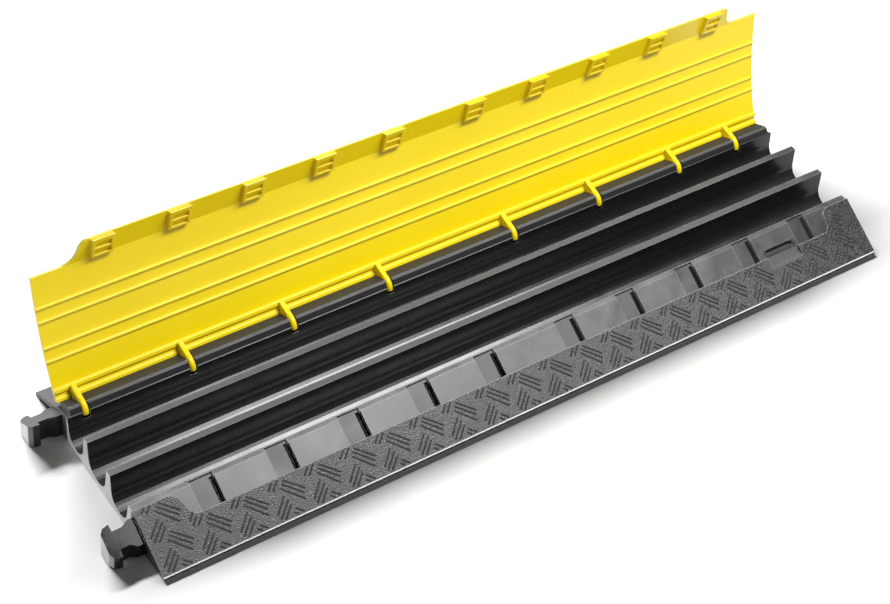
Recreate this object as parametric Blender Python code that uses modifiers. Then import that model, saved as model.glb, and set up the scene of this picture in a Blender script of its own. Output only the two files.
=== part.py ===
"""Floor cord cover: a drive-over cable ramp with three channels and a hinged lid.

The cover lies on the floor with its length along X, its hook end at -X and its
hinge along the back, +Y. The origin is the middle of the footprint, on the floor.
Every dimension below is in millimetres. The section is worked out from the front
edge (y = 0) to the back edge, and the length from the hook end (x = 0), because
that is how such a moulding is measured; to_world() then centres it.
"""
import math

import bmesh
import bpy
from mathutils import Matrix, Vector

MM = 0.001

# Overall size of the black moulding
LENGTH = 1000.0
WIDTH = 286.0
LIP_HEIGHT = 4.0

# Front ramp, which carries the tread
TREAD_SLOPE = 0.56
TREAD_TOP_Y = 66.0
WALL_TOP_Z = 38.3

# Back ramp
BACK_SLOPE = 0.51

# Channels and the ribs between them
CHANNEL_FLOOR_Z = 6.0
CHANNEL_SPRING_Z = 24.0
CHANNEL_LEAN = 2.3
RIB_TOP_Z = 44.8
FRONT_WALL_Y = 75.5
RIB_A_Y = (114.3, 122.3)
RIB_B_Y = (164.5, 171.9)
BACK_WALL_Y = 209.6
BACK_WALL_Z = 37.3
ARC_STEPS = 14

# Hinge rail behind the last channel
RAIL_PROFILE = (
    (210.8, 37.6),
    (211.6, 39.0),
    (214.4, 43.4),
    (217.2, 44.4),
    (221.0, 43.0),
    (235.2, 36.4),
)
RAIL_BACK_Y = 236.2
RAIL_END_GAP = 5.0

# Hinge: a rod through the rail and the fingers of the lid
AXIS_Y = 224.0
AXIS_Z = 34.0
CLOSING_ANGLE = 111.8
ROD_RADIUS = 3.0
ROD_CLEARANCE = 0.3
ROD_ENDS = (9.0, 956.0)
FINGER_RADIUS = 14.3
FINGER_CENTRE = (-1.5, -2.0)
FINGER_WIDTH = 7.8
FINGER_STARTS = (18.6, 147.7, 276.5, 405.3, 585.0, 713.7, 842.4, 938.3)
FINGER_HUB_RADIUS = 6.6
FINGER_RIM_ROUND = 4.0
FINGER_ROOT_INSET = 0.6
FINGER_ROOT = (
    (-2.0, 11.9),
    (8.0, 13.8),
    (17.2, 16.6),
    (19.0, 8.0),
    (15.4, 0.0),
    (6.0, 3.0),
)
NOTCH_RADIUS = 16.6
NOTCH_SIDE = 0.7

# Land on the front ramp where the lid's flange lies, with its pockets
LAND_DEPTH = 4.5
LAND_FRONT_Y = 41.0
LAND_LEFT = (38.0, 60.0)
LAND_RIGHT = (966.0, 945.0)
POCKET_DEPTH = 5.0
POCKET_WIDTH = 28.0
POCKET_FRONT_Y = 41.6
POCKET_BACK_Y = 74.0
POCKET_GROOVES = ((0.2, 5.4, 1.8), (0.2, 2.2, 4.0), (3.0, 5.4, 4.0))
TAB_PITCH = 90.2
TAB_MIDDLE_GAP = 113.0
TAB_CENTRE = 499.2
TABS_EACH_SIDE = 5

# Finger grip between the last two pockets
GRIP_X = (849.5, 899.0)
GRIP_Y = (25.0, 51.8)
GRIP_START_Y = 28.0
GRIP_FLOOR_SLOPE = 0.135
GRIP_CORNER = 7.0

# Hooks at the left end and their sockets at the right end
HOOK_DROP = 7.0
HOOK_FOOT_Z = 1.0
HOOK_REACH_Y = (20.0, 80.0)
SOCKET_CLEARANCE = 0.8
HOOK_OUTLINE = (
    (6.0, 64.5),
    (-7.0, 64.5),
    (-16.0, 60.5),
    (-26.5, 60.5),
    (-26.8, 67.5),
    (-34.5, 66.0),
    (-38.2, 61.5),
    (-38.5, 43.5),
    (-35.5, 38.4),
    (-30.0, 35.5),
    (-26.2, 36.2),
    (-26.0, 43.0),
    (-15.0, 43.2),
    (-8.0, 38.9),
    (6.0, 38.9),
)

# Coring under the two ramps
CORE_LENGTH = 108.0
CORE_WEB = 8.0
FRONT_CORE_SKIN = 16.0
BACK_CORE_SKIN = 7.0
FRONT_CORE_Y = (8.0, 67.0)
BACK_CORE_Y = (245.0, 280.0)
FRONT_CORE_X = (52.0, 936.0)
BACK_CORE_X = (-4.0, 936.0)

# Lid: one crowned panel with a front flange, beads, tabs and fingers
LID_END_GAP = 2.0
LID_THICKNESS = 4.0
LID_CROWN = 6.5
LID_LEFT = (40.0, 64.0)
LID_RIGHT = (958.0, 935.0)
LID_TRIM_Y = 67.8
LID_EDGE = (218.85, 47.34)
LID_CREASE = (68.2, 39.4)
FLANGE_FRONT_Y = 41.3
FLANGE_FRONT_Z = 26.0
FLANGE_GAP = 0.5
FLANGE_THICKNESS = 4.8
BEAD_SLANTS = (47.2, 63.2, 94.8, 111.8)
BEAD_WIDTH = 2.0
BEAD_HEIGHT = 2.2
LOW_RIB_SLANT = 12.5
LOW_RIB_WIDTH = 4.0
LOW_RIB_HEIGHT = 3.0
EDGE_LIP_WIDTH = 4.0
EDGE_LIP_HEIGHT = 2.4
CROWN_STEPS = 30

# Tabs under the flange
TAB_WIDTH = 25.6
TAB_DROP = 4.2
TAB_ROOT = 3.4
TAB_FRONT_Y = 43.2
TAB_BACK_Y = 67.6
TAB_SIDE = 3.2
TAB_SLOTS_Y = ((48.2, 55.2), (58.0, 65.0))
TAB_SLOT_DEPTH = 3.4

BLACK_COLOUR = (0.018, 0.018, 0.020, 1.0)
YELLOW_COLOUR = (0.87, 0.66, 0.0, 1.0)
STEEL_COLOUR = (0.55, 0.55, 0.56, 1.0)


def clear_scene():
    for thing in list(bpy.data.objects):
        bpy.data.objects.remove(thing, do_unlink=True)


def make_collection(name):
    collection = bpy.data.collections.new(name)
    bpy.context.scene.collection.children.link(collection)
    return collection


def make_material(name, colour, roughness, metallic=0.0):
    material = bpy.data.materials.new(name)
    material.use_nodes = True
    shader = material.node_tree.nodes["Principled BSDF"]
    shader.inputs["Base Color"].default_value = colour
    shader.inputs["Roughness"].default_value = roughness
    shader.inputs["Metallic"].default_value = metallic
    material.diffuse_color = colour
    return material


def to_world(x, y, z):
    """Section and length measures (mm) to the part's own frame (m)."""
    return Vector(((x - LENGTH / 2) * MM, (y - WIDTH / 2) * MM, z * MM))


def flat_outline(name, points, half_thickness):
    """A filled 2D curve through the points, made into one welded mesh."""
    curve = bpy.data.curves.new(name + "_outline", "CURVE")
    curve.dimensions = "2D"
    curve.fill_mode = "BOTH"
    curve.extrude = half_thickness
    spline = curve.splines.new("POLY")
    spline.points.add(len(points) - 1)
    for point, (across, up) in zip(spline.points, points):
        point.co = (across, up, 0.0, 1.0)
    spline.use_cyclic_u = True
    outline = bpy.data.objects.new(name + "_outline", curve)
    bpy.context.scene.collection.objects.link(outline)
    bpy.context.view_layer.update()
    evaluated = outline.evaluated_get(bpy.context.evaluated_depsgraph_get())
    mesh = bpy.data.meshes.new_from_object(evaluated)
    bpy.data.objects.remove(outline, do_unlink=True)
    return mesh


def tidy_mesh(mesh, name, matrix, collection):
    """Weld the caps, point the faces outwards and place the solid."""
    mesh.transform(matrix)
    work = bmesh.new()
    work.from_mesh(mesh)
    bmesh.ops.remove_doubles(work, verts=work.verts, dist=0.00001)
    bmesh.ops.recalc_face_normals(work, faces=work.faces)
    work.to_mesh(mesh)
    work.free()
    solid = bpy.data.objects.new(name, mesh)
    collection.objects.link(solid)
    return solid


def prism_along_x(name, section, x_start, x_end, collection):
    """A (y, z) section in millimetres, drawn out along the length."""
    points = [(y * MM, z * MM) for y, z in section]
    mesh = flat_outline(name, points, (x_end - x_start) / 2 * MM)
    turn = Matrix(((0, 0, 1), (1, 0, 0), (0, 1, 0))).to_4x4()
    shift = Matrix.Translation(to_world((x_start + x_end) / 2, 0.0, 0.0))
    return tidy_mesh(mesh, name, shift @ turn, collection)


def prism_upwards(name, outline, z_start, z_end, collection):
    """An (x, y) outline in millimetres, drawn up from z_start to z_end."""
    points = [(x * MM, y * MM) for x, y in outline]
    mesh = flat_outline(name, points, (z_end - z_start) / 2 * MM)
    shift = Matrix.Translation(to_world(0.0, 0.0, (z_start + z_end) / 2))
    return tidy_mesh(mesh, name, shift, collection)


def cylinder_along_x(name, radius, x_start, x_end, collection, segments=64):
    """A cylinder on the hinge axis."""
    mesh = bpy.data.meshes.new(name)
    work = bmesh.new()
    bmesh.ops.create_cone(
        work,
        cap_ends=True,
        segments=segments,
        radius1=radius * MM,
        radius2=radius * MM,
        depth=(x_end - x_start) * MM,
    )
    work.to_mesh(mesh)
    work.free()
    turn = Matrix.Rotation(math.radians(90.0), 4, "Y")
    shift = Matrix.Translation(to_world((x_start + x_end) / 2, AXIS_Y, AXIS_Z))
    return tidy_mesh(mesh, name, shift @ turn, collection)


def hide_as_cutter(cutter):
    cutter.hide_render = True
    cutter.display_type = "WIRE"


def boolean(target, tool, operation):
    modifier = target.modifiers.new(operation.lower() + "_" + tool.name, "BOOLEAN")
    modifier.operation = operation
    modifier.solver = "EXACT"
    modifier.object = tool
    hide_as_cutter(tool)


def settle(target):
    """Apply the modifiers of a solid that is itself used as a tool."""
    bpy.context.view_layer.update()
    evaluated = target.evaluated_get(bpy.context.evaluated_depsgraph_get())
    mesh = bpy.data.meshes.new_from_object(evaluated)
    target.modifiers.clear()
    target.data = mesh


def tread_z(y):
    """Height of the front ramp's tread."""
    return LIP_HEIGHT + TREAD_SLOPE * y


def back_z(y):
    """Height of the back ramp."""
    return LIP_HEIGHT + BACK_SLOPE * (WIDTH - y)


def channel_points(y_start, y_end):
    """A channel's round floor and leaning sides, from front to back."""
    middle = (y_start + y_end) / 2
    half = (y_end - y_start) / 2 - CHANNEL_LEAN
    drop = CHANNEL_SPRING_Z - CHANNEL_FLOOR_Z
    points = []
    for step in range(ARC_STEPS + 1):
        angle = math.pi * step / ARC_STEPS
        y = middle - half * math.cos(angle)
        z = CHANNEL_SPRING_Z - drop * math.sin(angle)
        points.append((y, z))
    return points


def base_section():
    """The whole section of the black moulding, front lip to back lip."""
    section = [(0.0, 0.0), (0.0, LIP_HEIGHT)]
    section.append((TREAD_TOP_Y, tread_z(TREAD_TOP_Y)))
    section.append((TREAD_TOP_Y + 0.8, WALL_TOP_Z))
    section.append((FRONT_WALL_Y, WALL_TOP_Z))
    section += channel_points(FRONT_WALL_Y, RIB_A_Y[0])
    section += [(RIB_A_Y[0], RIB_TOP_Z), (RIB_A_Y[1], RIB_TOP_Z)]
    section += channel_points(RIB_A_Y[1], RIB_B_Y[0])
    section += [(RIB_B_Y[0], RIB_TOP_Z), (RIB_B_Y[1], RIB_TOP_Z)]
    section += channel_points(RIB_B_Y[1], BACK_WALL_Y)
    section.append((BACK_WALL_Y, BACK_WALL_Z))
    section += list(RAIL_PROFILE)
    section.append((RAIL_BACK_Y, back_z(RAIL_BACK_Y)))
    section += [(WIDTH, LIP_HEIGHT), (WIDTH, 0.0)]
    return section


def bend(start, start_pull, end_pull, end, steps=10):
    """Points on a smooth S between two places in plan."""
    points = []
    for step in range(steps + 1):
        t = step / steps
        weights = ((1 - t) ** 3, 3 * t * (1 - t) ** 2, 3 * t * t * (1 - t), t ** 3)
        spots = (start, start_pull, end_pull, end)
        x = sum(w * s[0] for w, s in zip(weights, spots))
        y = sum(w * s[1] for w, s in zip(weights, spots))
        points.append((x, y))
    return points


def s_ended_outline(left_ends, right_ends, front_y, back_y):
    """Plan of the land or of the lid's flange, with an S at each end."""
    left_back, left_front = left_ends
    right_back, right_front = right_ends
    left = bend(
        (left_back, TREAD_TOP_Y),
        (left_back + 20.0, TREAD_TOP_Y),
        (left_front - 14.0, front_y),
        (left_front + 6.0, front_y),
    )
    right = bend(
        (right_front, front_y),
        (right_front + 16.0, front_y),
        (right_back - 20.0, TREAD_TOP_Y),
        (right_back, TREAD_TOP_Y),
    )
    return [(left_back, back_y)] + left + right + [(right_back, back_y)]


def tab_centres():
    centres = []
    for number in range(TABS_EACH_SIDE):
        offset = TAB_MIDDLE_GAP / 2 + number * TAB_PITCH
        centres += [TAB_CENTRE - offset, TAB_CENTRE + offset]
    return sorted(centres)


def slope_wedge(name, y_front, y_back, drop, x_start, x_end, top, collection):
    """Everything above a plane that lies drop below the tread."""
    section = [
        (y_front, tread_z(y_front) - drop),
        (y_back, tread_z(y_back) - drop),
        (y_back, top),
        (y_front, top),
    ]
    return prism_along_x(name, section, x_start, x_end, collection)


def cut_land(base, cutters):
    """The sunken land with its S-shaped ends, and the pockets in it."""
    back_y = (WALL_TOP_Z - LIP_HEIGHT + LAND_DEPTH) / TREAD_SLOPE
    wedge = slope_wedge(
        "land_wedge", LAND_FRONT_Y - 2.0, back_y, LAND_DEPTH, 20.0, 980.0, 60.0, cutters
    )
    outline = s_ended_outline(LAND_LEFT, LAND_RIGHT, LAND_FRONT_Y, back_y + 4.0)
    plan = prism_upwards("land_plan", outline, -5.0, 70.0, cutters)
    boolean(plan, wedge, "INTERSECT")
    settle(plan)
    boolean(base, plan, "DIFFERENCE")
    for number, centre in enumerate(tab_centres(), start=1):
        pocket = slope_wedge(
            f"pocket_{number}",
            POCKET_FRONT_Y,
            POCKET_BACK_Y,
            LAND_DEPTH + POCKET_DEPTH,
            centre - POCKET_WIDTH / 2,
            centre + POCKET_WIDTH / 2,
            60.0,
            cutters,
        )
        boolean(base, pocket, "DIFFERENCE")
        right = centre + POCKET_WIDTH / 2
        for groove_number, (near, far, depth) in enumerate(POCKET_GROOVES, start=1):
            groove = slope_wedge(
                f"pocket_{number}_groove_{groove_number}",
                POCKET_FRONT_Y + 0.8,
                POCKET_BACK_Y - 3.0,
                LAND_DEPTH + POCKET_DEPTH + depth,
                right - far,
                right - near,
                60.0,
                cutters,
            )
            boolean(base, groove, "DIFFERENCE")


def rounded_rectangle(x_range, y_range, radius, steps=5):
    """Plan outline with quarter-round corners."""
    corners = (
        (x_range[1] - radius, y_range[1] - radius, 0.0),
        (x_range[0] + radius, y_range[1] - radius, 90.0),
        (x_range[0] + radius, y_range[0] + radius, 180.0),
        (x_range[1] - radius, y_range[0] + radius, 270.0),
    )
    outline = []
    for x, y, start in corners:
        for step in range(steps + 1):
            angle = math.radians(start + 90.0 * step / steps)
            outline.append((x + radius * math.cos(angle), y + radius * math.sin(angle)))
    return outline


def cut_grip(base, cutters):
    """The scoop that lets fingers in under the lid's flange."""
    plan = prism_upwards(
        "grip_plan", rounded_rectangle(GRIP_X, GRIP_Y, GRIP_CORNER), 0.0, 60.0, cutters
    )
    start_z = tread_z(GRIP_START_Y)
    reach = 40.0
    section = [
        (GRIP_START_Y, start_z),
        (GRIP_START_Y + reach, start_z + reach * GRIP_FLOOR_SLOPE),
        (GRIP_START_Y + reach, 62.0),
        (GRIP_START_Y, 62.0),
    ]
    above = prism_along_x("grip_above", section, GRIP_X[0] - 5.0, GRIP_X[1] + 5.0, cutters)
    boolean(plan, above, "INTERSECT")
    settle(plan)
    boolean(base, plan, "DIFFERENCE")


def cut_hinge(base, cutters):
    """Notches for the fingers, the rod's bore and the rail's short ends."""
    for number, start in enumerate(FINGER_STARTS, start=1):
        notch = cylinder_along_x(
            f"notch_{number}", NOTCH_RADIUS, start - NOTCH_SIDE,
            start + FINGER_WIDTH + NOTCH_SIDE, cutters, 48,
        )
        boolean(base, notch, "DIFFERENCE")
    bore = cylinder_along_x(
        "rod_bore", ROD_RADIUS + ROD_CLEARANCE, ROD_ENDS[0] - 0.5, ROD_ENDS[1] + 1.0, cutters, 32
    )
    boolean(base, bore, "DIFFERENCE")
    for name, start, end in (
        ("rail_end_left", -5.0, RAIL_END_GAP),
        ("rail_end_right", LENGTH - RAIL_END_GAP, LENGTH + 5.0),
    ):
        section = [
            (BACK_WALL_Y + 0.4, BACK_WALL_Z),
            (RAIL_BACK_Y + 0.6, back_z(RAIL_BACK_Y + 0.6)),
            (RAIL_BACK_Y + 0.6, 60.0),
            (BACK_WALL_Y + 0.4, 60.0),
        ]
        boolean(base, prism_along_x(name, section, start, end, cutters), "DIFFERENCE")


def core_cells(x_start, x_end):
    """Starts and ends of the cored cells between two places along a ramp."""
    count = round((x_end - x_start + CORE_WEB) / (CORE_LENGTH + CORE_WEB))
    length = (x_end - x_start + CORE_WEB) / count - CORE_WEB
    cells = []
    for number in range(count):
        start = x_start + number * (length + CORE_WEB)
        cells.append((start, start + length))
    return cells


def cut_cores(base, cutters):
    """Wedge-shaped hollows under both ramps, open to the floor."""
    front, back = FRONT_CORE_Y
    rise = (FRONT_CORE_SKIN - LIP_HEIGHT + 1.0) / TREAD_SLOPE
    for number, (start, end) in enumerate(core_cells(*FRONT_CORE_X), start=1):
        section = [
            (rise, -2.0),
            (back, -2.0),
            (back, tread_z(back) - FRONT_CORE_SKIN),
            (rise, tread_z(rise) - FRONT_CORE_SKIN),
        ]
        core = prism_along_x(f"front_core_{number}", section, start, end, cutters)
        boolean(base, core, "DIFFERENCE")
    front, back = BACK_CORE_Y
    for number, (start, end) in enumerate(core_cells(*BACK_CORE_X), start=1):
        section = [
            (front, -2.0),
            (back - 4.0, -2.0),
            (back - 4.0, back_z(back - 4.0) - BACK_CORE_SKIN + 2.0),
            (front, back_z(front) - BACK_CORE_SKIN),
        ]
        core = prism_along_x(f"back_core_{number}", section, start, end, cutters)
        boolean(base, core, "DIFFERENCE")


def hook_section(front, extra):
    """What may be filled under the ramp plane, for a hook or its socket."""
    foot = HOOK_FOOT_Z if extra == 0.0 else -3.0
    drop = HOOK_DROP - extra
    outer, inner = HOOK_REACH_Y
    low = tread_z(outer) - drop
    high = tread_z(inner) - drop
    if not front:
        outer, inner = WIDTH - outer, WIDTH - inner
    return [(outer, foot), (inner, foot), (inner, high), (outer, low)]


def hook_solid(name, front, extra, shift_x, collection):
    """A hook, or the larger solid that cuts its socket."""
    middle_x = sum(x for x, y in HOOK_OUTLINE) / len(HOOK_OUTLINE)
    middle_y = (35.5 + 67.5) / 2
    outline = []
    for x, y in HOOK_OUTLINE:
        grow_x = math.copysign(extra, x - middle_x) if x < 0.0 else 0.0
        if -27.0 < x < -25.0:
            grow_x = extra
        grow_y = math.copysign(extra, y - middle_y)
        place_y = y + grow_y
        if not front:
            place_y = WIDTH - place_y
        outline.append((x + grow_x + shift_x, place_y))
    hook = prism_upwards(name, outline, -5.0, 60.0, collection)
    x_low = min(x for x, y in outline) - 5.0
    x_high = max(x for x, y in outline) + 5.0
    slab = prism_along_x(name + "_slab", hook_section(front, extra), x_low, x_high, collection)
    boolean(hook, slab, "INTERSECT")
    hide_as_cutter(slab)
    settle(hook)
    return hook


def make_base(parts, cutters, black):
    base = prism_along_x("base", base_section(), 0.0, LENGTH, parts)
    base.data.materials.append(black)
    cut_land(base, cutters)
    cut_grip(base, cutters)
    cut_hinge(base, cutters)
    cut_cores(base, cutters)
    for side, front in (("front", True), ("back", False)):
        socket = hook_solid(f"socket_{side}", front, SOCKET_CLEARANCE, LENGTH, cutters)
        boolean(base, socket, "DIFFERENCE")
        hook = hook_solid(f"hook_{side}", front, 0.0, 0.0, cutters)
        boolean(base, hook, "UNION")
    return base


def lid_place(slant, depth):
    """A place on the closed lid's crowned underside, in (y, z)."""
    edge = Vector(LID_EDGE)
    crease = Vector(LID_CREASE)
    chord = crease - edge
    length = chord.length
    along = chord / length
    up = Vector((-along.y, along.x))
    if up.y < 0.0:
        up = -up
    share = slant / length
    crown = 4.0 * LID_CROWN * share * (1.0 - share)
    place = edge + along * slant + up * (crown + depth)
    return (place.x, place.y)


def lid_bumps():
    """Every rib and bead on the underside: middle, width and height."""
    bumps = [(EDGE_LIP_WIDTH / 2, EDGE_LIP_WIDTH, EDGE_LIP_HEIGHT)]
    bumps.append((LOW_RIB_SLANT, LOW_RIB_WIDTH, LOW_RIB_HEIGHT))
    bumps += [(slant, BEAD_WIDTH, BEAD_HEIGHT) for slant in BEAD_SLANTS]
    return bumps


def lid_section():
    """Closed lid: crowned panel, beads and the flange bent down at the front."""
    length = (Vector(LID_CREASE) - Vector(LID_EDGE)).length
    stations = [length * step / CROWN_STEPS for step in range(CROWN_STEPS + 1)]
    under = []
    bumps = lid_bumps()
    for station in stations:
        if any(abs(station - middle) < width / 2 + 0.8 for middle, width, _ in bumps):
            continue
        under.append((station, 0.0))
    for middle, width, height in bumps:
        start = middle - width / 2
        end = middle + width / 2
        if start > 0.01:
            under.append((start - 0.3, 0.0))
        under.append((start, -height))
        under.append((end, -height))
        under.append((end + 0.3, 0.0))
    under.sort()
    section = [lid_place(slant, depth) for slant, depth in under]
    section.append((FLANGE_FRONT_Y, FLANGE_FRONT_Z))
    section.append((FLANGE_FRONT_Y, FLANGE_FRONT_Z + FLANGE_THICKNESS - 1.0))
    section.append((FLANGE_FRONT_Y + 1.2, FLANGE_FRONT_Z + FLANGE_THICKNESS + 0.4))
    for station in reversed(stations):
        section.append(lid_place(station, LID_THICKNESS))
    return section


def finger_section():
    """A finger in the open pose: a hub on the rod and an arm over the rail."""
    reach = FINGER_RADIUS + 3.0
    points = [(reach, reach), (-reach, reach), (-reach, -1.2)]
    points.append((FINGER_CENTRE[0] - FINGER_RADIUS + 0.9, -1.2))
    points.append((-FINGER_HUB_RADIUS - 3.0, -2.6))
    for degrees in range(200, 341, 20):
        angle = math.radians(degrees)
        points.append((FINGER_HUB_RADIUS * math.cos(angle), FINGER_HUB_RADIUS * math.sin(angle)))
    points.append((15.6, -0.4))
    return points


def closed(section_about_axis):
    """Turn a section drawn about the axis in the open pose to the closed one."""
    turn = math.radians(CLOSING_ANGLE)
    section = []
    for across, up in section_about_axis:
        y = AXIS_Y + across * math.cos(turn) - up * math.sin(turn)
        z = AXIS_Z + across * math.sin(turn) + up * math.cos(turn)
        section.append((y, z))
    return section


def rounded_disc(name, start, end, collection):
    """A disc beside the hinge axis with a rounded rim, turned about its own centre."""
    half = (end - start) / 2
    rim = FINGER_RADIUS - FINGER_RIM_ROUND
    profile = [(-half, 0.0), (-half, rim)]
    for degrees in range(15, 180, 15):
        angle = math.radians(degrees)
        x = -half * math.cos(angle)
        profile.append((x, rim + FINGER_RIM_ROUND * math.sin(angle)))
    profile += [(half, rim), (half, 0.0)]
    mesh = bpy.data.meshes.new(name)
    points = [(x * MM, 0.0, r * MM) for x, r in profile]
    edges = [(n, n + 1) for n in range(len(points) - 1)]
    mesh.from_pydata(points, edges, [])
    turned = bpy.data.objects.new(name + "_turned", mesh)
    bpy.context.scene.collection.objects.link(turned)
    screw = turned.modifiers.new("turn", "SCREW")
    screw.axis = "X"
    screw.steps = 40
    screw.render_steps = 40
    screw.use_merge_vertices = True
    screw.merge_threshold = 0.00001
    settle(turned)
    solid_mesh = turned.data
    bpy.data.objects.remove(turned, do_unlink=True)
    centre_y, centre_z = closed((FINGER_CENTRE,))[0]
    shift = Matrix.Translation(to_world((start + end) / 2, centre_y, centre_z))
    return tidy_mesh(solid_mesh, name, shift, collection)


def add_finger(lid, number, start, cutters):
    """One finger: a rounded arm about the rod and the root that joins the lid."""
    end = start + FINGER_WIDTH
    arm = rounded_disc(f"finger_{number}", start, end, cutters)
    outline = prism_along_x(
        f"finger_{number}_outline", closed(finger_section()), start - 1.0, end + 1.0, cutters
    )
    boolean(arm, outline, "INTERSECT")
    settle(arm)
    boolean(lid, arm, "UNION")
    root = prism_along_x(
        f"finger_{number}_root",
        closed(FINGER_ROOT),
        start + FINGER_ROOT_INSET,
        end - FINGER_ROOT_INSET,
        cutters,
    )
    rounding = root.modifiers.new("rounded_sides", "BEVEL")
    rounding.width = 1.6 * MM
    rounding.segments = 2
    rounding.limit_method = "ANGLE"
    rounding.angle_limit = math.radians(60.0)
    settle(root)
    boolean(lid, root, "UNION")


def add_tab(lid, number, centre, cutters):
    """One coupling tab: a shallow box with two slots and a bar between them."""
    left = centre - TAB_WIDTH / 2
    right = centre + TAB_WIDTH / 2
    under_flange = LAND_DEPTH - FLANGE_GAP
    section = [
        (TAB_FRONT_Y, tread_z(TAB_FRONT_Y) - under_flange + TAB_ROOT),
        (TAB_FRONT_Y, tread_z(TAB_FRONT_Y) - under_flange - TAB_DROP),
        (TAB_BACK_Y, tread_z(TAB_BACK_Y) - under_flange - TAB_DROP),
        (TAB_BACK_Y, tread_z(TAB_BACK_Y) - under_flange + TAB_ROOT),
    ]
    tab = prism_along_x(f"tab_{number}", section, left, right, cutters)
    for slot_number, (near, far) in enumerate(TAB_SLOTS_Y, start=1):
        depth = TAB_DROP - TAB_SLOT_DEPTH
        slot_section = [
            (near, tread_z(near) - under_flange - depth),
            (near, tread_z(near) - under_flange - TAB_DROP - 2.0),
            (far, tread_z(far) - under_flange - TAB_DROP - 2.0),
            (far, tread_z(far) - under_flange - depth),
        ]
        slot = prism_along_x(
            f"tab_{number}_slot_{slot_number}", slot_section,
            left + TAB_SIDE, right - TAB_SIDE, cutters,
        )
        boolean(tab, slot, "DIFFERENCE")
    settle(tab)
    boolean(lid, tab, "UNION")


def trim_lid_ends(lid, cutters):
    """Leave the flange only between the S-shaped ends of the land."""
    outline = s_ended_outline(LID_LEFT, LID_RIGHT, FLANGE_FRONT_Y - 0.5, LID_CREASE[0])
    split = len(outline) // 2
    left = [(-20.0, LID_TRIM_Y), (outline[1][0] - 2.0, LID_TRIM_Y)]
    left += outline[2:split] + [(outline[split - 1][0], 20.0), (-20.0, 20.0)]
    right = [(LENGTH + 20.0, 20.0), (outline[split][0], 20.0)]
    right += outline[split:-2]
    right += [(outline[-2][0] + 2.0, LID_TRIM_Y), (LENGTH + 20.0, LID_TRIM_Y)]
    for name, points in (("lid_trim_left", left), ("lid_trim_right", right)):
        boolean(lid, prism_upwards(name, points, 0.0, 80.0, cutters), "DIFFERENCE")


def make_lid(parts, cutters, yellow):
    """The lid is shaped closed, then opened about its empty on the hinge axis."""
    lid = prism_along_x(
        "lid", lid_section(), LID_END_GAP, LENGTH - LID_END_GAP, parts
    )
    lid.data.materials.append(yellow)
    trim_lid_ends(lid, cutters)
    for number, centre in enumerate(tab_centres(), start=1):
        add_tab(lid, number, centre, cutters)
    for number, start in enumerate(FINGER_STARTS, start=1):
        add_finger(lid, number, start, cutters)
    bore = cylinder_along_x(
        "finger_bore", ROD_RADIUS + ROD_CLEARANCE, 5.0, LENGTH - 5.0, cutters, 32
    )
    boolean(lid, bore, "DIFFERENCE")
    settle(lid)
    axis_place = to_world(LENGTH / 2, AXIS_Y, AXIS_Z)
    hinge_axis = bpy.data.objects.new("hinge_axis", None)
    hinge_axis.location = axis_place
    hinge_axis.rotation_euler.x = -math.radians(CLOSING_ANGLE)
    parts.objects.link(hinge_axis)
    lid.data.transform(Matrix.Translation(-axis_place))
    lid.parent = hinge_axis
    return lid


def make_rod(parts, steel):
    rod = cylinder_along_x("hinge_rod", ROD_RADIUS, *ROD_ENDS, parts, 32)
    rod.data.materials.append(steel)
    return rod


def shade(solid, angle=35.0):
    solid.data.shade_smooth()
    solid.data.set_sharp_from_angle(angle=math.radians(angle))


def main():
    clear_scene()
    parts = make_collection("floor_cord_cover")
    cutters = make_collection("cutters")
    black = make_material("black_rubber", BLACK_COLOUR, 0.5)
    yellow = make_material("yellow_plastic", YELLOW_COLOUR, 0.42)
    steel = make_material("steel", STEEL_COLOUR, 0.35, 1.0)
    base = make_base(parts, cutters, black)
    settle(base)
    lid = make_lid(parts, cutters, yellow)
    rod = make_rod(parts, steel)
    for solid in (base, lid, rod):
        shade(solid)
    bpy.context.view_layer.update()


main()
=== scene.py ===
# %% [markdown]
# # A floor cord cover, dressed for its portrait
# This lesson starts from a finished solid model: a black rubber ramp with three cable
# channels, a yellow lid that stands open on its hinge, and the steel rod they share.
# The shapes are already right, so the work here is finish: the grain and the raised bars
# of the tread, the satin of moulded rubber, the soft gloss of the yellow plastic, and light.

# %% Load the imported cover
import math

import bmesh
import bpy
from mathutils import Matrix, Vector


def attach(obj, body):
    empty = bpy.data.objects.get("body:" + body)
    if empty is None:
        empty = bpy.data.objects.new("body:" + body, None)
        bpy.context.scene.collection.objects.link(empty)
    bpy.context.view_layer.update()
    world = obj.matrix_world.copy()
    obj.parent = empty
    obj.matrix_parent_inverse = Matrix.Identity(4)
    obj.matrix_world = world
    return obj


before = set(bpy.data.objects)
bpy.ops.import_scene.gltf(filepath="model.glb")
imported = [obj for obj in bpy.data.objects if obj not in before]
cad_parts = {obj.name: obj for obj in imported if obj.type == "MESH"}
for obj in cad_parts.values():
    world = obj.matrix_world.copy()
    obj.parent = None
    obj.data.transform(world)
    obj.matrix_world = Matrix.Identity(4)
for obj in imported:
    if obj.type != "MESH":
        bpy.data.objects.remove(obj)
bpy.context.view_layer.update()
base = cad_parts["base"]
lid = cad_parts["lid"]
hinge_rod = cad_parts["hinge_rod"]

# %% [markdown]
# ## Measures the finish needs
# The tread follows the front ramp, so its height at any place comes from the ramp's own
# slope. Lengths are in millimetres from the hook end, and widths from the front lip, as a
# maker would measure them on the bench. Small helpers turn them into Blender's metres.

# %% The ramp in bench measures
MM = 0.001
LENGTH = 1000.0
WIDTH = 286.0
LIP_HEIGHT = 4.0
RAMP_SLOPE = 0.56
BACK_SLOPE = 0.51
LAND_FRONT = 41.0
LAND_BACK = 66.0


def ramp_height(y):
    return LIP_HEIGHT + RAMP_SLOPE * y


def from_hooks(x):
    """World X of a distance from the hook end."""
    return (x - LENGTH / 2) * MM


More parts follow.
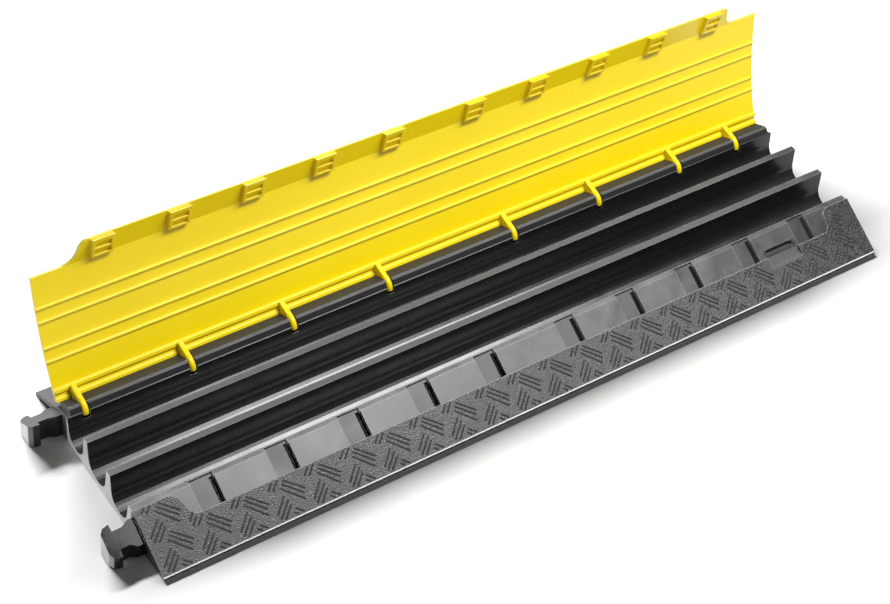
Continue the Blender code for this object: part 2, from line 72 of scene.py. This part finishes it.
def from_lip(y):
    """World Y of a distance from the front lip."""
    return (y - WIDTH / 2) * MM


def bench(x, y, z):
    return Vector((from_hooks(x), from_lip(y), z * MM))


ramp_tilt = math.degrees(math.atan(RAMP_SLOPE))
print("The front ramp rises", round(ramp_tilt, 1), "degrees")

# %% [markdown]
# ## Small helpers for materials
# A material in Blender is a graph of nodes. Adding each node by hand takes three or four
# lines, so these helpers add a node, set its values and join its inputs in one go. They
# keep the recipes below short enough to read as recipes.


# %% Node helpers
def new_material(name, colour, roughness, metallic=0.0):
    material = bpy.data.materials.new(name)
    material.use_nodes = True
    shader = material.node_tree.nodes["Principled BSDF"]
    shader.inputs["Base Color"].default_value = (*colour, 1.0)
    shader.inputs["Roughness"].default_value = roughness
    shader.inputs["Metallic"].default_value = metallic
    return material, shader


def add_node(material, kind, values=None, links=None):
    """Add one node; values are plain settings, links are sockets to join to it."""
    node = material.node_tree.nodes.new(kind)
    for name, value in (values or {}).items():
        if hasattr(node, name) and name.islower():
            setattr(node, name, value)
        else:
            node.inputs[name].default_value = value
    for name, socket in (links or {}).items():
        material.node_tree.links.new(socket, node.inputs[name])
    return node


def maths(material, operation, first, second=None, clamp=False):
    """A Math node whose two inputs may be sockets or plain numbers."""
    node = material.node_tree.nodes.new("ShaderNodeMath")
    node.operation = operation
    node.use_clamp = clamp
    for place, value in enumerate((first, second)):
        if value is None:
            continue
        if isinstance(value, (int, float)):
            node.inputs[place].default_value = value
        else:
            material.node_tree.links.new(value, node.inputs[place])
    return node.outputs[0]


def rescale(material, value, from_low, from_high, to_low, to_high):
    """Map a value from one range to another, held at the ends."""
    node = add_node(
        material,
        "ShaderNodeMapRange",
        {"From Min": from_low, "From Max": from_high, "To Min": to_low, "To Max": to_high},
        {"Value": value},
    )
    return node.outputs["Result"]


def join(material, socket, target):
    material.node_tree.links.new(socket, target)


# %% [markdown]
# ## The black rubber
# The base is one moulding in a tough black rubber, yet it doesn't look the same all over.
# The channels are deep black and shine, as if moulded against polished steel. The rib tops
# and the land that carries the lid's flange are satin grey, probably rubbed by the lid.
# The ramp has a pebble grain, which an etched mould would leave. The end faces of the hooks and ribs
# are painted paler, as painted light on the faces turned to the ends. Painting a picture of all this on
# the moulding would work, but it would be sharp at one distance only. A recipe stays sharp, so one
# material tells the places apart by itself: it looks at where a point lies and which way the surface
# faces.

# %% Find the parts of the base inside the shader
rubber, rubber_shader = new_material("black_rubber", (0.016, 0.016, 0.017), 0.4)
rubber_shader.inputs["Specular IOR Level"].default_value = 0.5
coordinates = add_node(rubber, "ShaderNodeTexCoord")
place = coordinates.outputs["Object"]
axes = add_node(rubber, "ShaderNodeSeparateXYZ", links={"Vector": place})
across = axes.outputs["Y"]
height = axes.outputs["Z"]
along = axes.outputs["X"]
facing = add_node(rubber, "ShaderNodeSeparateXYZ", links={"Vector": coordinates.outputs["Normal"]})
faces_up = rescale(rubber, facing.outputs["Z"], 0.6, 0.8, 0.0, 1.0)
faces_hooks = rescale(rubber, facing.outputs["X"], -0.75, -0.45, 1.0, 0.0)
end_face = rescale(rubber, maths(rubber, "ABSOLUTE", facing.outputs["X"]), 0.75, 0.9, 0.0, 1.0)


def both(first, second):
    return maths(rubber, "MULTIPLY", first, second)


def either(first, second):
    return maths(rubber, "MAXIMUM", first, second)


def without(mask, hole):
    return both(mask, maths(rubber, "SUBTRACT", 1.0, hole))


def between(value, low, high, soft):
    """One inside a range, zero outside it, with a soft border."""
    above = rescale(rubber, value, low - soft, low + soft, 0.0, 1.0)
    below = rescale(rubber, value, high - soft, high + soft, 1.0, 0.0)
    return both(above, below)


def along_span(start, end, soft=0.3):
    """A stretch of the length, in bench millimetres."""
    return between(along, from_hooks(start), from_hooks(end), soft * MM)


def across_span(start, end, soft=0.2):
    """A stretch of the width, in bench millimetres."""
    return between(across, from_lip(start), from_lip(end), soft * MM)


print("Mask helpers ready for", rubber.name)

# %% [markdown]
# ## Places on the moulding
# The land, its pads and its pocket floors all lie parallel to the front ramp, each a few millimetres
# below it. So the height above the ramp's plane tells them apart better than the plain height does. The
# back ramp has a plane of its own. The back of the finger grip shows as a black slot, so a black patch
# of painted shade goes there in the material.

# %% Name the places
front_plane = maths(rubber, "SUBTRACT", height, maths(rubber, "MULTIPLY", across, RAMP_SLOPE))
back_plane = maths(rubber, "ADD", height, maths(rubber, "MULTIPLY", across, BACK_SLOPE))
front_level = (LIP_HEIGHT + RAMP_SLOPE * WIDTH / 2) * MM
back_level = (LIP_HEIGHT + BACK_SLOPE * WIDTH / 2) * MM


def above_ramp(low, high, soft=0.1):
    """A layer of heights over the front ramp, in millimetres; below it is negative."""
    return between(front_plane, front_level + low * MM, front_level + high * MM, soft * MM)


on_front = above_ramp(-2.0, 2.0, 0.2)
on_back = between(back_plane, back_level - 1.2 * MM, back_level + 1.2 * MM, 0.2 * MM)
ramps = both(either(on_front, on_back), faces_up)
raised = above_ramp(0.12, 2.0, 0.08)
grip_area = both(along_span(848.0, 900.5), across_span(27.0, 53.0, 0.3))
grip = both(grip_area, faces_up)
# Painted shade: the back of the grip gets no grey and stays black, for the shade of a deeper slot.
grip_slot_painted_shade = both(along_span(852.0, 896.5), across_span(44.5, 51.5, 0.3))
land_width = across_span(40.8, 76.0)
pads = both(above_ramp(-5.3, -3.9), land_width)
wall_top = both(between(height, 37.6 * MM, 39.0 * MM, 0.1 * MM), across_span(68.0, 77.0))
pad_tops = both(without(either(pads, wall_top), grip_area), faces_up)
pocket_floors = both(both(above_ramp(-10.4, -8.6), land_width), faces_up)
rib_tops = both(rescale(rubber, height, 43.9 * MM, 44.3 * MM, 0.0, 1.0), faces_up)
rail = rescale(rubber, across, from_lip(209.8), from_lip(210.2), 0.0, 1.0)
hooks = rescale(rubber, along, from_hooks(-2.5), from_hooks(-1.5), 1.0, 0.0)
# Painted light: the land's end walls that face the hook end, towards the socket end, get a pale grey as
# if lit from that side.
land_walls_painted_light = both(both(faces_hooks, land_width), along_span(500.0, 980.0, 0.5))
# Painted light: faces turned to either end, on the hooks and across the ribs and channels, get a paler
# grey.
end_faces_painted_light = both(end_face, either(hooks, across_span(69.0, 211.0, 0.5)))
levels = [round(level / MM, 1) for level in (front_level, back_level)]
print("Over the middle line the planes of the two ramps stand", levels, "mm up")

# %% [markdown]
# ## Painted edge highlights
# The outer edges show as thin pale lines, and the front lip most of all. They are painted here as
# highlights on the edges. The edges could be rounded in the mesh, but the solid has to stay as it is. A
# Bevel node gives the normal that a rounded edge would have. Where it parts from the plain normal there
# is an edge. The painted highlights are kept to the upward faces of the tread, the pads, the rib tops
# and the wall top, so the inner corners of the pockets stay dark.

# %% Painted edge highlights
EDGE_RADIUS = 0.0010


def edge_mask(material, rounded, strength):
    """Zero on flat faces, up to the strength where a rounded edge would turn away."""
    plain = add_node(material, "ShaderNodeNewGeometry").outputs["True Normal"]
    agree = material.node_tree.nodes.new("ShaderNodeVectorMath")
    agree.operation = "DOT_PRODUCT"
    join(material, rounded, agree.inputs[0])
    join(material, plain, agree.inputs[1])
    return rescale(material, agree.outputs["Value"], 0.985, 0.90, 0.0, strength)


edges = add_node(rubber, "ShaderNodeBevel", {"samples": 4, "Radius": EDGE_RADIUS})
edge = edge_mask(rubber, edges.outputs["Normal"], 1.0)
tread_skin = above_ramp(-0.6, 0.3)
# The planes that get painted edge highlights.
highlight_planes = either(either(tread_skin, pads), either(rib_tops, wall_top))
painted_edge_highlights = both(both(edge, highlight_planes), faces_up)
# Painted highlights: pale lines along the top edge of the front lip and along its foot.
lip_top = both(rescale(rubber, across, from_lip(1.0), from_lip(1.4), 1.0, 0.0), tread_skin)
lip_face = rescale(rubber, across, from_lip(0.1), from_lip(0.3), 1.0, 0.0)
lip_foot = both(lip_face, rescale(rubber, height, 1.0 * MM, 1.4 * MM, 1.0, 0.0))
lip_painted_highlights = either(lip_top, lip_foot)
# The width printed is that of the painted edge highlights.
print("Rubbed edges are", 2 * EDGE_RADIUS * 1000, "mm wide")

# %% [markdown]
# ## Grain and flow marks
# Pebble grain is a field of small rounded bumps, far too many to model. A Voronoi texture gives exactly
# that: its distance output is a cone round each random point. A noise on top keeps the cones from
# looking like a honeycomb. Slow clouds in the moulded skin keep the large smooth faces from looking
# flat. The tread grey is palest low on the ramp and falls off up the ramp, with slow slopes of its own,
# and the hidden back ramp is made darker. One picture can't say whether that is wear or light. The
# hidden back ramp is guessed to be less worn. All the rubber greys also fade towards the socket end:
# that fade is painted shade.

# %% Grain and flow marks
GRAIN_SIZE = 0.0015
SPECKLE_SIZE = 0.0020

pebbles = add_node(
    rubber,
    "ShaderNodeTexVoronoi",
    {"feature": "SMOOTH_F1", "Scale": 1.0 / GRAIN_SIZE, "Smoothness": 0.5, "Randomness": 1.0},
    {"Vector": place},
)
speckle = add_node(
    rubber,
    "ShaderNodeTexNoise",
    {"Scale": 1.0 / SPECKLE_SIZE, "Detail": 3.0, "Roughness": 0.7},
    {"Vector": place},
)
clouds = add_node(
    rubber,
    "ShaderNodeTexNoise",
    {"Scale": 26.0, "Detail": 6.0, "Roughness": 0.62, "Distortion": 0.4},
    {"Vector": place},
)
# The tread grey is paler near the lip and falls off up the ramp; the back ramp is darker still.
front_half = rescale(rubber, across, from_lip(183.0), from_lip(203.0), 1.0, 0.35)
ramp_tone_by_width = both(rescale(rubber, across, from_lip(3.0), from_lip(47.0), 1.15, 0.70), front_half)
# Painted shade: every grey from the speckle or the clouds fades towards the socket end, to under half
# at the end.
painted_shade_along = rescale(rubber, along, from_hooks(720.0), from_hooks(970.0), 1.0, 0.45)
# The raised bars get none of the tread's grey and stay plain black: painted shade for the shadows along
# their flanks.
grained = without(ramps, raised)
painted_dark_bars = both(ramps, raised)
grain = maths(rubber, "ADD", pebbles.outputs["Distance"], speckle.outputs["Fac"])
grain_relief = both(grain, either(grained, grip))
skin_relief = maths(rubber, "MULTIPLY", clouds.outputs["Fac"], 0.12)
relief = maths(rubber, "ADD", grain_relief, skin_relief)
bump = add_node(
    rubber,
    "ShaderNodeBump",
    {"Strength": 0.7, "Distance": 0.0005},
    {"Height": relief, "Normal": edges.outputs["Normal"]},
)
join(rubber, bump.outputs["Normal"], rubber_shader.inputs["Normal"])
print("Grain", GRAIN_SIZE * 1000, "mm, speckle", SPECKLE_SIZE * 1000, "mm")

# %% [markdown]
# ## Greys and shine
# The greys are added up place by place. Each place lifts the black by its own amount, and the clouds
# and the speckle vary that amount. Some lifts are painted light: the edge and lip highlights and the
# paler end faces and land walls. The plain black left on the bars and on the grip slot is painted
# shade. The shine is built the same way: glossy black to start with, duller wherever the skin is rubbed
# or grained. A table of masks with a lift and a dulling keeps the recipe in one place, so it's easy to
# tune.

# %% Greys and shine
BLACK = 0.008
GLOSS = 0.25
TREAD_GREY = 0.030
GRIP_GREY = 0.012
PAD_GREY = 0.056
POCKET_GREY = 0.034
RIB_TOP_GREY = 0.040
# Grey of the painted light on the end faces.
END_PAINTED_LIGHT = 0.14
LAND_WALL_PAINTED_LIGHT = 0.10
EDGE_HIGHLIGHT_GREY = 0.20
LIP_HIGHLIGHT_GREY = 0.40

# Both of these carry the painted shade towards the socket end.
speckled = both(rescale(rubber, speckle.outputs["Fac"], 0.40, 0.62, 0.0, 2.2), painted_shade_along)
clouded = both(rescale(rubber, clouds.outputs["Fac"], 0.3, 0.7, 0.65, 1.35), painted_shade_along)
shades = (
    (both(both(grained, speckled), ramp_tone_by_width), TREAD_GREY, 0.30),
    (both(without(grip, grip_slot_painted_shade), speckled), GRIP_GREY, 0.30),
    (grip_slot_painted_shade, 0.0, 0.60),
    (both(pad_tops, clouded), PAD_GREY, 0.12),
    (both(pocket_floors, clouded), POCKET_GREY, 0.18),
    (both(rib_tops, clouded), RIB_TOP_GREY, 0.60),
    (painted_dark_bars, 0.0, 0.60),
    (rail, 0.0, 0.30),
    (hooks, 0.0, -0.10),
    (land_walls_painted_light, LAND_WALL_PAINTED_LIGHT, 0.10),
    (both(end_faces_painted_light, clouded), END_PAINTED_LIGHT, 0.20),
    (painted_edge_highlights, EDGE_HIGHLIGHT_GREY, 0.05),
    (lip_painted_highlights, LIP_HIGHLIGHT_GREY, 0.10),
)
grey = BLACK
shine = GLOSS
for mask, lift, dulling in shades:
    grey = maths(rubber, "ADD", maths(rubber, "MULTIPLY", mask, lift), grey)
    shine = maths(rubber, "ADD", maths(rubber, "MULTIPLY", mask, dulling), shine)
cool = maths(rubber, "MULTIPLY", grey, 1.02)
rubber_colour = add_node(
    rubber, "ShaderNodeCombineColor", links={"Red": grey, "Green": grey, "Blue": cool}
)
join(rubber, rubber_colour.outputs["Color"], rubber_shader.inputs["Base Color"])
smudges = rescale(rubber, clouds.outputs["Fac"], 0.3, 0.7, -0.04, 0.06)
join(rubber, maths(rubber, "ADD", shine, smudges, clamp=True), rubber_shader.inputs["Roughness"])
print("Rubber shades:", len(shades))

# %% [markdown]
# ## The yellow plastic
# The lid is a stiff safety-yellow plastic. It is coloured right through, so light enters it a little
# way and comes back warm: a small amount of subsurface does that. The surface is a calm satin with a
# very faint unevenness left by the mould. Its beads, tabs and rims look paler than its faces. The same
# Bevel node trick as on the rubber finds those edges, and a pale rim colour is mixed in there as a
# painted highlight. The outer face doesn't show. It is made a little darker and duller, with a guessed
# scuff pattern in it: a painted shade that keeps the closed lid from burning out under its lamp.

# %% Mix the yellow
YELLOW_COLOUR = (0.86, 0.66, 0.0)
YELLOW_WORN = (0.80, 0.60, 0.0)
YELLOW_RIM_HIGHLIGHT = (1.0, 0.92, 0.28)
YELLOW_OUTER_SHADE = (0.56, 0.41, 0.008)
RIM_RADIUS = 0.0009

yellow, yellow_shader = new_material("yellow_plastic", YELLOW_COLOUR, 0.38)
yellow_coordinates = add_node(yellow, "ShaderNodeTexCoord")
yellow_place = yellow_coordinates.outputs["Object"]
yellow_facing = add_node(
    yellow, "ShaderNodeSeparateXYZ", links={"Vector": yellow_coordinates.outputs["Normal"]}
)
outer_face = rescale(yellow, yellow_facing.outputs["Y"], 0.55, 0.80, 0.0, 1.0)
yellow_clouds = add_node(
    yellow,
    "ShaderNodeTexNoise",
    {"Scale": 6.0, "Detail": 3.0, "Roughness": 0.5},
    {"Vector": yellow_place},
)
tone = add_node(yellow, "ShaderNodeMix", {"data_type": "RGBA"})
tone.inputs[6].default_value = (*YELLOW_COLOUR, 1.0)
tone.inputs[7].default_value = (*YELLOW_WORN, 1.0)
join(yellow, rescale(yellow, yellow_clouds.outputs["Fac"], 0.4, 0.75, 0.0, 0.6), tone.inputs[0])
yellow_edges = add_node(yellow, "ShaderNodeBevel", {"samples": 4, "Radius": RIM_RADIUS})
# Painted highlight: a pale rim colour on the beads, tabs and edges of the lid.
yellow_rim_highlight = edge_mask(yellow, yellow_edges.outputs["Normal"], 0.80)
rim_highlight_mix = add_node(yellow, "ShaderNodeMix", {"data_type": "RGBA"})
rim_highlight_mix.inputs[7].default_value = (*YELLOW_RIM_HIGHLIGHT, 1.0)
scuffs = add_node(
    yellow,
    "ShaderNodeTexNoise",
    {"Scale": 60.0, "Detail": 8.0, "Roughness": 0.75},
    {"Vector": yellow_place},
)
# Painted shade: the outer face is made darker and duller, with a scuff noise in it, so that the closed
# lid doesn't burn out under its lamp.
outer_shade_and_scuffs = maths(
    yellow, "MULTIPLY", outer_face, rescale(yellow, scuffs.outputs["Fac"], 0.35, 0.65, 0.78, 1.0)
)
outer_shade_mix = add_node(yellow, "ShaderNodeMix", {"data_type": "RGBA"})
outer_shade_mix.inputs[7].default_value = (*YELLOW_OUTER_SHADE, 1.0)
join(yellow, tone.outputs[2], outer_shade_mix.inputs[6])
join(yellow, outer_shade_and_scuffs, outer_shade_mix.inputs[0])
join(yellow, outer_shade_mix.outputs[2], rim_highlight_mix.inputs[6])
join(yellow, yellow_rim_highlight, rim_highlight_mix.inputs[0])
join(yellow, rim_highlight_mix.outputs[2], yellow_shader.inputs["Base Color"])
orange_peel = add_node(
    yellow,
    "ShaderNodeTexNoise",
    {"Scale": 420.0, "Detail": 3.0, "Roughness": 0.5},
    {"Vector": yellow_place},
)
yellow_bump = add_node(
    yellow,
    "ShaderNodeBump",
    {"Strength": 0.25, "Distance": 0.00015},
    {"Height": orange_peel.outputs["Fac"], "Normal": yellow_edges.outputs["Normal"]},
)
join(yellow, yellow_bump.outputs["Normal"], yellow_shader.inputs["Normal"])
satin = rescale(yellow, yellow_clouds.outputs["Fac"], 0.3, 0.7, 0.27, 0.35)
dulled = maths(yellow, "ADD", satin, maths(yellow, "MULTIPLY", outer_shade_and_scuffs, 0.20))
join(yellow, dulled, yellow_shader.inputs["Roughness"])
yellow_shader.inputs["Subsurface Weight"].default_value = 0.12
yellow_shader.inputs["Subsurface Radius"].default_value = (1.0, 0.6, 0.1)
yellow_shader.inputs["Subsurface Scale"].default_value = 0.003
print("Yellow mixed:", YELLOW_COLOUR)

# %% [markdown]
# ## The steel rod
# The pin of the hinge doesn't show in the photograph, so a plain drawn steel rod stands in
# for it. Drawing leaves fine lines along a rod, so the noise that roughens it is stretched
# along the length.

# %% Draw the steel
steel, steel_shader = new_material("steel", (0.55, 0.55, 0.56), 0.35, 1.0)
steel_place = add_node(steel, "ShaderNodeTexCoord").outputs["Object"]
stretch = add_node(steel, "ShaderNodeMapping", links={"Vector": steel_place})
stretch.inputs["Scale"].default_value = (4.0, 900.0, 900.0)
draw_lines = add_node(
    steel, "ShaderNodeTexNoise", {"Scale": 1.0, "Detail": 3.0}, {"Vector": stretch.outputs[0]}
)
join(
    steel,
    rescale(steel, draw_lines.outputs["Fac"], 0.3, 0.7, 0.25, 0.45),
    steel_shader.inputs["Roughness"],
)
steel_bump = add_node(
    steel,
    "ShaderNodeBump",
    {"Strength": 0.2, "Distance": 0.0001},
    {"Height": draw_lines.outputs["Fac"]},
)
join(steel, steel_bump.outputs["Normal"], steel_shader.inputs["Normal"])


def give_finish(piece, material):
    piece.data.materials.clear()
    piece.data.materials.append(material)


for piece, material in ((base, rubber), (lid, yellow), (hinge_rod, steel)):
    give_finish(piece, material)
print("Finishes given to", base.name, lid.name, hinge_rod.name)

# %% [markdown]
# ## The raised bars of the tread
# In the photograph the ramp carries short dark strokes in groups of three, leaning one way
# and then the other like woven straw. They are taken here as raised bars. They could be a
# bump texture, but they catch real light along their edges and show on the lip, so they
# are modelled. One bar is a low ridge with sloping sides. A loop lays the two kinds of
# group over the ramp and trims each bar at the edges of the grained area, just as the
# mould maker's cutter would stop there.

# %% Where the tread may run
BAR_WIDTH = 2.0
BAR_HEIGHT = 0.75
EDGE_MARGIN = 1.6
LAND_LEFT = (38.0, 60.0)
LAND_RIGHT = (966.0, 945.0)
GRIP_X = (849.5, 899.0)
GRIP_FRONT = 28.0


def smooth_step(t):
    t = min(1.0, max(0.0, t))
    return t * t * (3.0 - 2.0 * t)


def land_ends(y):
    """Left and right end of the sunken land at a distance from the lip."""
    share = smooth_step((y - LAND_FRONT) / (LAND_BACK - LAND_FRONT))
    left = LAND_LEFT[1] + (LAND_LEFT[0] - LAND_LEFT[1]) * share
    right = LAND_RIGHT[1] + (LAND_RIGHT[0] - LAND_RIGHT[1]) * share
    return left, right


def on_tread(x, y):
    if not 2.6 < x < LENGTH - 2.6 or not 2.2 < y < LAND_BACK - 1.0:
        return False
    if y > LAND_FRONT - EDGE_MARGIN:
        left, right = land_ends(y)
        if left - EDGE_MARGIN < x < right + EDGE_MARGIN:
            return False
    in_grip = GRIP_X[0] - EDGE_MARGIN < x < GRIP_X[1] + EDGE_MARGIN
    return not (in_grip and y > GRIP_FRONT - EDGE_MARGIN)


# %% Trim a bar and build it
def trimmed(start, end, steps=24):
    """The longest stretch of a bar that lies on the tread, or None."""
    best = run = None
    for step in range(steps + 1):
        share = step / steps
        x = start[0] + (end[0] - start[0]) * share
        y = start[1] + (end[1] - start[1]) * share
        if on_tread(x, y):
            run = (run[0], share) if run else (share, share)
            if best is None or run[1] - run[0] > best[1] - best[0]:
                best = run
        else:
            run = None
    if best is None:
        return None
    ends = []
    for share in best:
        ends.append((start[0] + (end[0] - start[0]) * share, start[1] + (end[1] - start[1]) * share))
    if math.dist(*ends) < 5.0:
        return None
    return ends


def add_bar(work, start, end):
    """A low ridge: a wide foot just under the ramp and a narrower rounded top."""
    along = Vector((end[0] - start[0], end[1] - start[1])).normalized()
    side = Vector((-along.y, along.x))
    levels = ((0.5, 0.0, -0.25), (0.42, 0.25, 0.55), (0.24, 0.6, 0.92), (0.0, 0.9, 1.0))
    rings = []
    for half_width, draw_in, lift in levels:
        ring = []
        for end_point, outwards in ((start, -1.0), (end, 1.0)):
            for hand in (-outwards, outwards):
                spot = Vector(end_point) - along * outwards * draw_in
                spot += side * hand * half_width * BAR_WIDTH
                level = ramp_height(spot.y) + lift * BAR_HEIGHT
                ring.append(work.verts.new(bench(spot.x, spot.y, level)))
        rings.append(ring)
    for low, high in zip(rings, rings[1:]):
        for corner in range(4):
            following = (corner + 1) % 4
            work.faces.new((low[corner], low[following], high[following], high[corner]))
    work.faces.new(rings[-1])


# %% Lay the groups over the ramp
GROUP_STEP_X = 44.4
GROUP_STEP_Y = 28.0
RISING_CENTRE = (14.0, 14.0)
FALLING_CENTRE = (33.0, 25.0)
RISING_BARS = (((6.6, 9.1), (-8.7, -4.9)), ((9.7, 4.9), (-7.3, -9.6)), ((10.6, -0.1), (-2.3, -11.2)))
FALLING_BARS = (((-12.7, 5.9), (8.3, -12.2)), ((-9.9, 9.5), (10.3, -6.8)), ((-6.6, 12.1), (13.2, -3.2)))

work = bmesh.new()
bar_count = 0
for centre, bars in ((RISING_CENTRE, RISING_BARS), (FALLING_CENTRE, FALLING_BARS)):
    for column in range(-1, 24):
        for row in range(-1, 3):
            x = centre[0] + column * GROUP_STEP_X
            y = centre[1] + row * GROUP_STEP_Y
            for (x1, y1), (x2, y2) in bars:
                ends = trimmed((x + x1, y + y1), (x + x2, y + y2))
                if ends:
                    add_bar(work, *ends)
                    bar_count += 1
bmesh.ops.recalc_face_normals(work, faces=work.faces)
tread_mesh = bpy.data.meshes.new("tread_bars")
work.to_mesh(tread_mesh)
work.free()
tread_bars = bpy.data.objects.new("tread_bars", tread_mesh)
bpy.context.scene.collection.objects.link(tread_bars)
tread_mesh.shade_smooth()
tread_mesh.set_sharp_from_angle(angle=math.radians(50.0))
give_finish(tread_bars, rubber)
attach(tread_bars, "base")
print("Tread bars:", bar_count)

# %% [markdown]
# ## Floor and light
# The cover lies on a white sheet. One long lamp behind it lights the sheet, so that the
# cover throws a short soft shadow forwards. The other lamps only light the cover: a flag
# keeps each of them off the sheet, as it would in a studio, and the shadow stays clean.
# Black rubber needs far more light than yellow plastic, so the two are lit apart. For the
# rubber, a broad lamp overhead greys the rib tops and draws a bright line along the front
# channel, a smaller one shines on the land, and a low one lights the trimmed hook end. The
# lid has a lamp above and in front, steep enough to give each bead a thin shadow, and a
# weak one behind for its outer face. Light linking does the work of the flags.

# %% Floor
FLOOR_SIZE = 12.0

floor_mesh = bpy.data.meshes.new("floor")
work = bmesh.new()
bmesh.ops.create_grid(work, x_segments=1, y_segments=1, size=FLOOR_SIZE / 2)
work.to_mesh(floor_mesh)
work.free()
floor = bpy.data.objects.new("floor", floor_mesh)
floor.location.z = -0.0003
bpy.context.scene.collection.objects.link(floor)
paper, paper_shader = new_material("white_floor", (0.92, 0.92, 0.92), 0.9)
paper_shader.inputs["Specular IOR Level"].default_value = 0.1
give_finish(floor, paper)
print("Floor side", FLOOR_SIZE, "m")

# %% World and lamps
WORLD_STRENGTH = 0.07

world = bpy.data.worlds.new("studio")
world.use_nodes = True
world.node_tree.nodes["Background"].inputs["Color"].default_value = (1.0, 1.0, 1.0, 1.0)
world.node_tree.nodes["Background"].inputs["Strength"].default_value = WORLD_STRENGTH
bpy.context.scene.world = world


def flag(name, shaded):
    """A set of pieces that a lamp is kept off."""
    group = bpy.data.collections.new(name)
    for piece in shaded:
        group.objects.link(piece)
    for entry in group.collection_objects:
        entry.light_linking.link_state = "EXCLUDE"
    return group


def softbox(name, spot, target, width, height, power, kept_off=None):
    """A rectangular lamp at a spot, turned to face a target."""
    lamp = bpy.data.lights.new(name, "AREA")
    lamp.shape = "RECTANGLE"
    lamp.size = width
    lamp.size_y = height
    lamp.energy = power
    holder = bpy.data.objects.new(name, lamp)
    holder.location = spot
    aim = Vector(target) - Vector(spot)
    holder.rotation_euler = aim.to_track_quat("-Z", "Y").to_euler()
    if kept_off:
        holder.light_linking.receiver_collection = kept_off
    bpy.context.scene.collection.objects.link(holder)
    return holder


off_lid = flag("off_lid", [lid])
off_floor_and_lid = flag("off_floor_and_lid", [floor, lid])
off_floor_and_base = flag("off_floor_and_base", [floor, base, tread_bars, hinge_rod])
softbox("behind", (0.0, 2.75, 1.98), (0.0, 0.0, 0.0), 2.4, 0.25, 310.0, off_lid)
softbox("overhead", (0.57, 0.05, 1.7), (0.57, 0.05, 0.0), 0.9, 1.2, 76.0, off_floor_and_lid)
softbox("land_lamp", (0.42, -0.80, 1.7), (-0.2, -0.1, 0.0), 0.6, 0.4, 11.0, off_floor_and_lid)
softbox("lid_lamp", (0.32, -0.42, 1.65), (0.05, 0.12, 0.13), 0.9, 0.25, 46.0, off_floor_and_base)
softbox("lid_back_lamp", (0.3, 1.9, 0.45), (0.0, 0.12, 0.1), 1.2, 0.4, 10.0, off_floor_and_base)
softbox("hook_end", (-1.5, 0.3, 0.35), (-0.4, 0.0, 0.0), 0.9, 0.5, 36.0, off_floor_and_lid)

# %% [markdown]
# ## The camera
# The picture was taken from the hook end's front corner, high enough to look into the
# channels, with a moderately long lens and the camera rolled a little. The direction of
# view and the roll give the camera's three axes, which become the columns of its matrix.

# %% Set the camera
CAMERA_SPOT = Vector((-1.06537, -1.14948, 1.59374))
VIEW_DIRECTION = Vector((0.46318, 0.53167, -0.70908)).normalized()
CAMERA_ROLL = math.radians(9.06)
LENS = 77.5

camera_data = bpy.data.cameras.new("camera")
camera_data.lens = LENS
camera_data.sensor_width = 36.0
camera_data.sensor_fit = "HORIZONTAL"
camera = bpy.data.objects.new("camera", camera_data)
level_right = VIEW_DIRECTION.cross(Vector((0.0, 0.0, 1.0))).normalized()
level_up = level_right.cross(VIEW_DIRECTION)
right = level_right * math.cos(CAMERA_ROLL) + level_up * math.sin(CAMERA_ROLL)
up = right.cross(VIEW_DIRECTION)
turned = Matrix((right, up, -VIEW_DIRECTION)).transposed().to_4x4()
camera.matrix_world = Matrix.Translation(CAMERA_SPOT) @ turned
bpy.context.scene.collection.objects.link(camera)
bpy.context.scene.camera = camera
print("Camera axes:", [tuple(round(v, 4) for v in axis) for axis in (right, up)])

# %% [markdown]
# ## Show true colours
# The standard view keeps the yellow about as bright as in the photograph.

# %% Finish
bpy.context.scene.view_settings.view_transform = "Standard"
